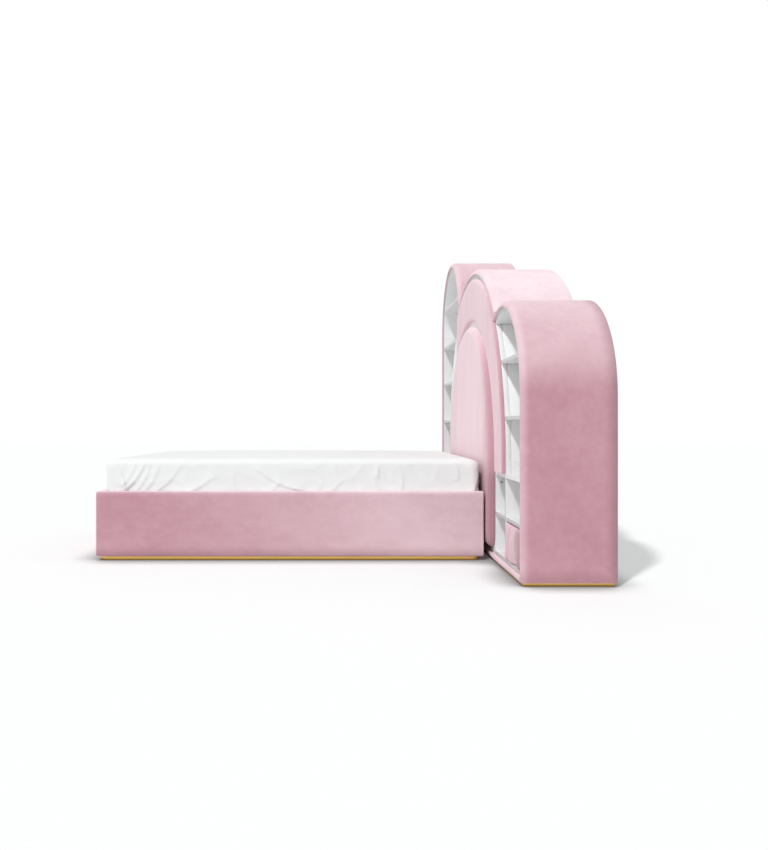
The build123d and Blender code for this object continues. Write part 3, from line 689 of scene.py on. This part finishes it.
# %% Middle cover
def middle_turn(radius, side):
    """Angle from +Y at which the middle arch lands on the near or far arch."""
    spring = near_spring if side < 0 else far_spring
    dy, dz = side * side_offset, spring - middle_spring
    distance = hypot(dy, dz)
    spread = acos((distance ** 2 + radius ** 2 - side_radius ** 2) / (2 * distance * radius))
    return atan2(dz, dy) + spread if side > 0 else atan2(dz, dy) - spread


def middle_cover():
    """Cover of the middle arch, between the other two."""
    bm = bmesh.new()
    centre = (0, middle_spring)
    grow = middle_radius - side_radius
    start, end = middle_turn(middle_radius, 1), middle_turn(middle_radius, -1)
    corners = [(x, r + grow, rounding) for x, r, rounding in cover_corners]
    section_loop(bm, corners, lambda x, r: Vector((x, r * cos(start), centre[1] + r * sin(start))))
    divided(bm, cloth_step)
    first = bm.edges[:]
    last = carried_round(bm, first, centre, start, end, arch_step)
    for vert in bm.verts:
        dy, dz = vert.co.y, vert.co.z - centre[1]
        radius = hypot(dy, dz)
        share = (atan2(dz, dy) - start) / (end - start)
        low, high = middle_turn(radius, 1), middle_turn(radius, -1)
        turned = low + share * (high - low)
        vert.co.y, vert.co.z = radius * cos(turned), centre[1] + radius * sin(turned)
    roll_ends(bm, [first, last], end_roll)

    def on_liner(co, radius):
        """True for a point that lies against the liner."""
        return co.x > board_x - seat and (radius or 0) < middle_radius - cover_thick + seat

    pile_up(bm, on_liner, centre)
    piece = new_piece("middle_cover", bm, painted_lit_velvet)
    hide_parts("middle_arch_cover")


middle_cover()

# %% [markdown]
# ## Pads with a rolled edge
# The centre panel, the drawer fronts, the mattress and its sheet start as an outline. It is pulled
# out, its edge rolls over in a quarter turn, and rings drawn in towards the middle carry the
# face, which swells a little. The ends of the rails are closed with a smaller roll.

# %% Outlines
def outline_points(corners, step, steps_round=8):
    """Points round an outline of (u, v, radius) corners, a step apart, each corner an arc."""
    points = []
    count = len(corners)
    for index, (u, v, radius) in enumerate(corners):
        here = Vector((u, v))
        before = (Vector(corners[index - 1][:2]) - here).normalized()
        after = (Vector(corners[(index + 1) % count][:2]) - here).normalized()
        middle = here + (before + after) * radius
        for turn in range(steps_round + 1):
            angle = turn / steps_round * pi / 2
            points.append(middle - after * radius * cos(angle) - before * radius * sin(angle))
        last, following = points[-1], corners[(index + 1) % count]
        end = Vector(following[:2]) - after * following[2]
        cuts = max(1, round((end - last).length / step))
        points += [last.lerp(end, cut / cuts) for cut in range(1, cuts)]
    return points


def arch_points(radius, spring, base, corner, step):
    """Points round an arch that stands on legs with rounded feet."""
    turns = round(pi * radius / step)
    crown = [Vector((radius * cos(turn / turns * pi), spring + radius * sin(turn / turns * pi)))
             for turn in range(turns + 1)]
    feet = outline_points([(-radius, spring, 0), (-radius, base, corner), (radius, base, corner),
                           (radius, spring, 0)], step)
    return crown + [point for point in feet if point.y < spring - step / 2]


def loop_of(bm, points, lift):
    """A closed loop of edges through points; lift places each (u, v) in space."""
    made = bmesh.ops.create_circle(bm, cap_ends=False, segments=len(points), radius=1)["verts"]
    made.sort(key=lambda vert: atan2(vert.co.y, vert.co.x) % (2 * pi))
    for vert, point in zip(made, points):
        vert.co = lift(point.x, point.y)
    return list(dict.fromkeys(edge for vert in made for edge in vert.link_edges))


# %% Soft faces
def rolled_over(bm, loop, outward, width, rise, steps):
    """Closes a loop with a face and rolls its edge over; outward says where the face looks."""
    face = bmesh.ops.contextual_create(bm, geom=loop)["faces"][0]
    face.normal_update()
    if face.normal.dot(Vector(outward)) < 0:
        face.normal_flip()
    done_in = done_up = 0
    for step in range(1, steps + 1):
        angle = step / steps * pi / 2
        inset, lift = width * (1 - cos(angle)), rise * sin(angle)
        bmesh.ops.inset_region(
            bm, faces=[face], thickness=inset - done_in, depth=0, use_even_offset=True)
        bmesh.ops.translate(bm, verts=face.verts[:], vec=Vector(outward) * (lift - done_up))
        done_in, done_up = inset, lift


def swelling(rings, height, fullness=2):
    """A face that swells a little: pairs of (share of the way to the centre, height)."""
    shares = [ring / rings for ring in range(1, rings + 1)]
    return [(share, height * (1 - (1 - share) ** fullness)) for share in shares]


def pillow(width, rise, steps, rings, height, fullness=2):
    """A wide soft roll, width of the way to the centre, and inside it a face that swells on."""
    angles = [step / steps * pi / 2 for step in range(1, steps + 1)]
    roll = [(width * (1 - cos(angle)), rise * sin(angle)) for angle in angles]
    face = swelling(rings, height, fullness)
    return roll + [(width + (1 - width) * share, rise + lift) for share, lift in face]


def rings_inwards(bm, face, centre, outward, profile):
    """Draws rings from a face's edge towards a centre, along a profile of (share, height) pairs."""
    centre, outward = Vector(centre), Vector(outward)
    edge = {vert: vert.co.copy() for vert in face.verts}
    for share, height in profile[:-1]:
        before = [vert for vert in face.verts]
        made = bmesh.ops.extrude_discrete_faces(bm, faces=[face])["faces"][0]
        edge = {vert: edge[source] for vert, source in zip(made.verts, before)}
        for vert, start in edge.items():
            vert.co = start.lerp(centre, share) + outward * height
        face = made
    bmesh.ops.poke(bm, faces=[face])["verts"][0].co = centre + outward * profile[-1][1]


# %% [markdown]
# ## Band
# The band is a flat pad that follows the middle arch and stands on the near counter. Its two edges
# are arches of different heights, so a plain spin won't do: its section is carried up, round and
# down, and then the inner side is let down by the difference. On the far side it stops where the
# far bookcase begins.

# %% Band
band_inner_radius, band_inner_spring = 0.857, 0.508
band_roll = 0.019
band_step = 0.016
band_swell = 0.003
band_end_roll = 0.004
band_end = band_high.y - 0.003


def arch_band():
    """Padded band round the middle arch. Its inner edge is a smaller arch, set a little lower.

    It is carried right round, then cut off where the far cabinet begins."""
    bm = bmesh.new()
    front, base = band_low.x, band_low.z
    width = wall_radius - band_inner_radius
    corners = [(board_x, wall_radius, 0), (front, wall_radius, band_roll),
               (front, band_inner_radius, band_roll), (board_x, band_inner_radius, 0)]
    section_loop(bm, corners, lambda x, r: Vector((x, r, base)))
    divided(bm, band_step)
    first = bm.edges[:]
    loop = lengthen(bm, first, (0, 0, wall_spring - base), 4)
    loop = carried_round(bm, loop, (0, wall_spring), 0, pi, arch_step)
    last = lengthen(bm, loop, (0, 0, base - wall_spring), 4)
    for vert in bm.verts:
        above = max(0, vert.co.z - wall_spring)
        radius = hypot(vert.co.y, above)
        inwards = (wall_radius - radius) / width
        low = (min(vert.co.z, wall_spring) - base) / (wall_spring - base)
        vert.co.z += inwards * low * (band_inner_spring - wall_spring)
        if vert.co.x < board_x - 0.012:
            vert.co.x -= band_swell * (1 - (2 * inwards - 1) ** 2)
    cut = bmesh.ops.bisect_plane(
        bm, geom=bm.verts[:] + bm.edges[:] + bm.faces[:], dist=0.0001, plane_co=(0, band_end, 0),
        plane_no=(0, 1, 0), clear_outer=True)["geom_cut"]
    roll_ends(bm, [edges_of(cut), last], band_end_roll)
    pile_up(bm, lambda co, radius: co.x > board_x - seat)
    piece = new_piece("arch_band", bm, upright_velvet)
    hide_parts("outer_arch_pad")


arch_band()

# %% [markdown]
# ## Centre panel
# The centre panel is the thickest pad: its edge rolls over almost as far as it is deep, and its velvet
# was brushed upright, which leaves faint upright lines. It lies on a flat board, so its face swells only
# a little. A drawn profile gives that, with no cloth simulation.

# %% Centre panel
panel_corner = 0.070
panel_step = 0.012
panel_line = 0.0012


def centre_panel():
    """Thick pad in the middle of the headboard."""
    bm = bmesh.new()
    pad_low, pad_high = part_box("centre_arch_pad")
    radius = (pad_high.y - pad_low.y) / 2
    spring = pad_high.z - radius
    depth, rise, crown = pad_high.x - pad_low.x, 0.037, 0.010
    points = arch_points(radius, spring, pad_low.z, panel_corner, panel_step)
    loop = loop_of(bm, points, lambda y, z: Vector((pad_high.x, y, z)))
    bmesh.ops.contextual_create(bm, geom=loop)
    loop = lengthen(bm, loop, (rise - depth, 0, 0))
    face = bmesh.ops.contextual_create(bm, geom=loop)["faces"][0]
    centre = (pad_low.x + rise, 0, (pad_low.z + pad_high.z) / 2)
    profile = pillow(width=0.07, rise=rise, steps=12, rings=34, height=crown, fullness=5)
    rings_inwards(bm, face, centre, (-1, 0, 0), profile)
    for vert in bm.verts:
        if vert.co.x < pad_high.x - 0.02:
            vert.co.x += panel_line * noise.noise(Vector((3.0, vert.co.y * 16, vert.co.z * 2.6)))
    pile_up(bm, lambda co, radius: co.x > pad_high.x - seat)
    piece = new_piece("centre_panel", bm, pad_velvet)
    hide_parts("centre_arch_pad")


centre_panel()

# %% [markdown]
# ## Rails and the foot strip
# The bed's rails are boards wrapped in thin foam and velvet. A bevelled box would have hard, even
# corners, so each cover is a rounded section pulled along the rail, with its ends rolled over.

# %% Rail covers
rail_roll = 0.010
strip_roll = 0.007
rail_step = 0.022
head_end_stuffing = 0.006
end_share = 0.92
board_clear = 0.001


def rail_cover(name, corners, lift, along, low, high, node):
    """Cover of one rail: a section of (u, z) corners pulled along an axis from low to high."""
    bm = bmesh.new()
    start = low + rail_roll
    section_loop(bm, corners, lambda u, z: lift(u, z, start))
    divided(bm, rail_step)
    first = bm.edges[:]
    length = high - low - 2 * rail_roll
    last = lengthen(bm, first, Vector(along) * length, round(length / rail_step))
    for loop, way in ((first, -1), (last, 1)):
        rolled_over(bm, loop, Vector(along) * way, rail_roll * end_share, rail_roll, 5)
    pile_up(bm)
    piece = new_piece(name, bm, rail_velvet if along[0] else pink_velvet)
    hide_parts(node)


# %% Dress the rails and the strip
def rail_covers():
    """The two side rails and the foot rail, and the strip at the headboard's foot."""
    for side, name in ((-1, "near"), (1, "far")):
        low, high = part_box(f"{name}_side_cover")
        outer, inner = (low.y, high.y) if side < 0 else (high.y, low.y)
        inner += side * board_clear
        corners = [(inner, low.z, 0), (outer, low.z, rail_roll), (outer, high.z, rail_roll),
                   (inner, high.z, 0)]
        rail_cover(f"{name}_rail_cover", corners, lambda u, z, x: Vector((x, u, z)), (1, 0, 0),
                   low.x, high.x + head_end_stuffing, f"{name}_side_cover")
    low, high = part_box("foot_cover")
    inner = high.x - board_clear
    corners = [(inner, low.z, 0), (low.x, low.z, rail_roll), (low.x, high.z, rail_roll),
               (inner, high.z, 0)]
    rail_cover("foot_rail_cover", corners, lambda u, z, y: Vector((u, y, z)), (0, 1, 0),
               low.y, high.y, "foot_cover")
    low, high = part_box("front_strip_pad")
    corners = [(high.x, low.z, 0), (low.x, low.z, strip_roll), (low.x, high.z, strip_roll),
               (high.x, high.z, 0)]
    rail_cover("front_strip_cover", corners, lambda u, z, y: Vector((u, y, z)), (0, 1, 0),
               low.y, high.y, "front_strip_pad")


rail_covers()

# %% [markdown]
# ## Drawer fronts
# Each drawer has a plump padded front, and the velvet is pulled round to the back of its board, so
# soft creases run upwards from the lower edge. Noise that is drawn out upwards gives creases that
# look pulled, and cost nothing but a few lines.

# %% Drawer fronts
front_corner = 0.018
front_step = 0.009
crease_depth = 0.010
crease_reach = 0.22
front_back = 0.006


def drawer_front(side, name):
    """Padded front of one drawer, which rides with it."""
    low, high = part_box(f"{name}_drawer_pad")
    bm = bmesh.new()
    corners = [(y, z, front_corner) for y, z in (
        (low.y, low.z), (high.y, low.z), (high.y, high.z), (low.y, high.z))]
    loop = loop_of(bm, outline_points(corners, front_step), lambda y, z: Vector((high.x, y, z)))
    bmesh.ops.contextual_create(bm, geom=loop)
    depth, rise, swell = high.x - low.x, 0.017, 0.006
    loop = lengthen(bm, loop, (rise + swell - depth, 0, 0))
    face = bmesh.ops.contextual_create(bm, geom=loop)["faces"][0]
    centre = (low.x + rise + swell, (low.y + high.y) / 2, (low.z + high.z) / 2)
    profile = pillow(width=0.2, rise=rise, steps=8, rings=14, height=swell)
    rings_inwards(bm, face, centre, (-1, 0, 0), profile)
    for vert in bm.verts:
        if vert.co.x < high.x - front_back:
            crease = noise.noise(Vector((side * 7.0, vert.co.y * 24, vert.co.z * 8)))
            lower = max(0, 1 - (vert.co.z - low.z) / crease_reach)
            vert.co.x += crease_depth * crease * (0.35 + 0.65 * lower)
    piece = new_piece(f"{name}_drawer_front", bm, drawer_shade_velvet, f"{name}_drawer")
    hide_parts(f"{name}_drawer_pad")


for side, name in ((-1, "near"), (1, "far")):
    drawer_front(side, name)

# %% [markdown]
# ## Mattress
# The mattress is a quilted block with soft edges, a little smaller than the sheet that hides it.
# Its outline is drawn from above and pulled up, and both faces are drawn in as pillows.

# %% Mattress
mattress_corner = 0.042
mattress_step = 0.04
mattress_inset = 0.004
mattress_roll = 0.050
bed_crown = 0.020
sheet_gap = 0.002


def bed_outline(grow, corner):
    """Outline of the mattress from above, grown by a little."""
    low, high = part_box("mattress")
    head = high.x + grow + head_end_stuffing
    return [(low.x - grow, low.y - grow, corner), (head, low.y - grow, corner),
            (head, high.y + grow, corner), (low.x - grow, high.y + grow, corner)]


def quilted_mattress():
    """The mattress under its sheet."""
    low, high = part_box("mattress")
    bm = bmesh.new()
    points = outline_points(bed_outline(-mattress_inset, mattress_corner), mattress_step)
    bottom, top = low.z + mattress_roll, high.z - bed_crown - mattress_roll
    loop = loop_of(bm, points, lambda x, y: Vector((x, y, bottom)))
    upper = lengthen(bm, loop, (0, 0, top - bottom), 4)
    middle = Vector((low.x + high.x, low.y + high.y, 0)) / 2
    for edges, z, way, height in ((upper, top, 1, bed_crown - sheet_gap), (loop, bottom, -1, 0)):
        face = bmesh.ops.contextual_create(bm, geom=edges)["faces"][0]
        profile = pillow(width=0.07, rise=mattress_roll, steps=8, rings=16, height=height)
        rings_inwards(bm, face, middle + Vector((0, 0, z)), (0, 0, way), profile)
    piece = new_piece("quilted_mattress", bm, ticking)
    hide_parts("mattress")
    return piece


mattress_piece = quilted_mattress()

# %% [markdown]
# ## Fitted sheet
# The sheet is stretched over the top and sides and tucked below. Its elastic pulls a crease across each
# corner, and a few slack folds fan out above the foot corner. No cloth simulation is run: the folds are
# laid one by one, about where the photograph has them. Each runs from one point to another, steep on one
# flank and running out softly on the other, as pulled cloth does.

# %% Folds of the sheet
# Folds of a long side, one by one: where each starts and ends, as (along from the foot end, up from the
# hem), how high it stands, and how wide it runs out on its soft side, towards the head where the width is
# above zero.
side_folds = [
    ((0.120, -0.03), (0.016, 0.190), 0.0110, -0.040),
    ((0.082, 0.010), (0.165, 0.165), 0.0070, -0.024),
    ((0.094, -0.010), (0.218, 0.170), 0.0120, -0.026),
    ((0.155, -0.020), (0.240, 0.150), 0.0080, -0.024),
    ((0.195, -0.020), (0.285, 0.125), 0.0065, -0.026),
    ((0.250, -0.020), (0.410, 0.145), 0.0075, -0.040),
    ((0.375, -0.020), (0.565, 0.060), 0.0110, -0.034),
    ((1.085, 0.000), (0.840, 0.105), 0.0100, 0.036),
    ((0.850, -0.020), (0.940, 0.040), 0.0080, -0.030),
    ((1.180, -0.020), (1.270, 0.045), 0.0080, -0.030),
    ((1.472, 0.060), (1.455, 0.165), 0.0060, -0.032),
    ((1.600, -0.020), (1.580, 0.150), 0.0055, -0.030),
    ((1.905, 0.040), (1.880, 0.165), 0.0065, -0.030),
    ((1.974, -0.040), (2.004, 0.190), 0.0130, -0.045),
]
end_folds = side_folds[:5]
fold_flank = 0.004
fold_bow = 0.09
fold_overrun = 1.2
slack_lift, crumple_lift = 0.0022, 0.0035
hem_lift, hem_reach = 0.003, 0.015
fade_from, fade_over = 0.02, 0.05


def fold_height(along, up, fold):
    """How far one fold lifts the cloth: steep on one flank, slowly running out on the other."""
    (start, end), height, width = map(Vector, fold[:2]), fold[2], fold[3]
    way = end - start
    from_start = Vector((along, up)) - start
    share = from_start.dot(way) / way.length_squared
    if not 0 < share < fold_overrun:
        return 0
    aside = (from_start.x * way.y - from_start.y * way.x) / way.length * (1 if width > 0 else -1)
    aside += fold_bow * way.length * sin(pi * min(1, share))
    flank = fold_flank * (1 + 1.5 * share)
    across = exp(-aside / abs(width)) if aside > 0 else exp(-(aside / flank) ** 2)
    return height * across * (1 - share / fold_overrun) ** 0.5 * min(1, share * 6)


def cloth_lift(co, normal, low, high):
    """How far folds and slack lift the sheet off the mattress at a point of its sides."""
    up = co.z - low.z
    on_side = sum(fold_height(co.x - low.x, up, fold) for fold in side_folds)
    across = min(co.y - low.y, high.y - co.y)
    on_end = sum(fold_height(across, up, fold) for fold in end_folds)
    slack = noise.noise(Vector((co.x * 7, co.y * 7, co.z * 5))) + noise.noise(co * 19) * 0.5
    crumple = (1 - abs(noise.noise(co * 8 + Vector((0, 0, 4))))) ** 6 * (1 - abs(noise.noise(co * 3)))
    fade = min(1, max(0, (high.z - fade_from - co.z) / fade_over))
    folds = on_side * abs(normal.y) + on_end * normal.x ** 2
    soft = slack_lift * (0.3 + fade) * slack + crumple_lift * fade * crumple
    return fade * folds + soft + hem_lift * exp(-up / hem_reach)


# %% Fitted sheet
sheet_corner = 0.040
sheet_grow = 0.001
sheet_step, sheet_rows = 0.007, 0.006
sheet_roll = 0.036
hem, tuck = 0.003, 0.008


def stretched_sheet():
    """The fitted sheet over the top and sides of the mattress, its hem turned under."""
    low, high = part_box("fitted_sheet")
    bm = bmesh.new()
    points = outline_points(bed_outline(sheet_grow, sheet_corner), sheet_step, 10)
    loop = loop_of(bm, points, lambda x, y: Vector((x, y, low.z - tuck)))
    inner = bmesh.ops.extrude_edge_only(bm, edges=loop)["geom"]
    for vert in [item for item in inner if isinstance(item, bmesh.types.BMVert)]:
        vert.co += Vector((hem if vert.co.x < 0 else -hem, hem if vert.co.y < 0 else -hem, hem))
    top = high.z - bed_crown - sheet_roll
    straight = top - low.z + tuck
    loop = lengthen(bm, loop, (0, 0, straight), round(straight / sheet_rows))
    face = bmesh.ops.contextual_create(bm, geom=loop)["faces"][0]
    centre = ((low.x + high.x) / 2, (low.y + high.y) / 2, top)
    profile = pillow(width=0.07, rise=sheet_roll, steps=12, rings=22, height=bed_crown)
    rings_inwards(bm, face, centre, (0, 0, 1), profile)
    bmesh.ops.recalc_face_normals(bm, faces=bm.faces)
    bm.normal_update()
    lifts = [(vert, vert.normal * cloth_lift(vert.co, vert.normal, low, high)) for vert in bm.verts]
    for vert, lift in lifts:
        vert.co += lift
    piece = new_piece("sheet", bm, white_cotton)
    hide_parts("fitted_sheet")


stretched_sheet()

# %% [markdown]
# ## Floor, backdrop and light
# The studio is white. More light would bleach the velvet, so the background gets its white from the
# floor's own colour and from the world that the camera sees. The floor takes the shadow, and a painted
# contact shadow darkens its colour a little more where the bed nearly touches it. One lamp, high on the
# near side and towards the foot, gives the shelves their diagonal shadows, and the white room fills the
# rest.

# %% Floor
floor_reach = 30
contact_reach = 0.2
paper_dull, paper_bright = (0.905, 0.92, 0.915, 1), (0.925, 0.94, 0.935, 1)
paper_bounce = (0.76, 0.76, 0.76, 1)
paper_glow = 0.055


def studio_floor():
    """A wide white floor that keeps the object's shadow."""
    bm = bmesh.new()
    bmesh.ops.create_grid(bm, x_segments=1, y_segments=1, size=floor_reach)
    mesh = bpy.data.meshes.new("floor")
    bm.to_mesh(mesh)
    bm.free()
    floor = bpy.data.objects.new("floor", mesh)
    bpy.context.scene.collection.objects.link(floor)
    finish = Finish("white paper")
    fibre = finish.clouds(40.0, 2.0)
    seen = finish.node("ShaderNodeLightPath", output="Is Camera Ray")
    paper = finish.blend(fibre, paper_dull, paper_bright)
    open_air = finish.node(
        "ShaderNodeAmbientOcclusion", {"samples": 16}, {"Distance": contact_reach}, output="AO")
    # Painted contact shadow: where ambient occlusion finds the bed close, the floor's colour is blended
    # towards black.
    painted_contact_shadow = finish.node("ShaderNodeMapRange", inputs={
        "Value": open_air, "From Min": 0.5, "From Max": 0.95, "To Min": 0.62, "To Max": 0.0})
    shown = finish.blend(painted_contact_shadow, paper, (0, 0, 0, 1))
    diffuse = finish.node("ShaderNodeBsdfDiffuse", inputs={
        "Color": finish.blend(seen, paper_bounce, shown)})
    glow = finish.node("ShaderNodeEmission", inputs={
        "Color": (1, 1, 1, 1), "Strength": seen * paper_glow})
    lit = finish.node("ShaderNodeAddShader", inputs={0: diffuse, 1: glow})
    mesh.materials.append(finish.ended(lit))


studio_floor()

# %% Room and lamp
def white_room(strength):
    """The world: an even white light, and plain white behind the object."""
    world = bpy.data.worlds.new("white room")
    bpy.context.scene.world = world
    world.use_nodes = True
    tree = world.node_tree
    tree.nodes.clear()
    path = tree.nodes.new("ShaderNodeLightPath")
    seen = tree.nodes.new("ShaderNodeMath")
    seen.operation = "MAXIMUM"
    tree.links.new(path.outputs["Is Camera Ray"], seen.inputs[0])
    tree.links.new(path.outputs["Is Glossy Ray"], seen.inputs[1])
    light = tree.nodes.new("ShaderNodeBackground")
    light.inputs["Strength"].default_value = strength
    paper = tree.nodes.new("ShaderNodeBackground")
    paper.inputs["Strength"].default_value = 1
    for shader in (light, paper):
        shader.inputs["Color"].default_value = (1, 1, 1, 1)
    mix = tree.nodes.new("ShaderNodeMixShader")
    tree.links.new(seen.outputs[0], mix.inputs[0])
    tree.links.new(light.outputs[0], mix.inputs[1])
    tree.links.new(paper.outputs[0], mix.inputs[2])
    out = tree.nodes.new("ShaderNodeOutputWorld")
    tree.links.new(mix.outputs[0], out.inputs["Surface"])


def lamp(name, direction, strength, softness):
    """A far lamp that shines along a direction."""
    data = bpy.data.lights.new(name, "SUN")
    data.energy = strength
    data.angle = softness
    made = bpy.data.objects.new(name, data)
    made.rotation_euler = Vector(direction).to_track_quat("-Z", "Y").to_euler()
    bpy.context.scene.collection.objects.link(made)
    print(name, "strength:", strength)


white_room(0.63)
lamp("key lamp", (0.45, 0.7, -1.0), 1.58, radians(4))
bpy.context.scene.view_settings.view_transform = "Standard"
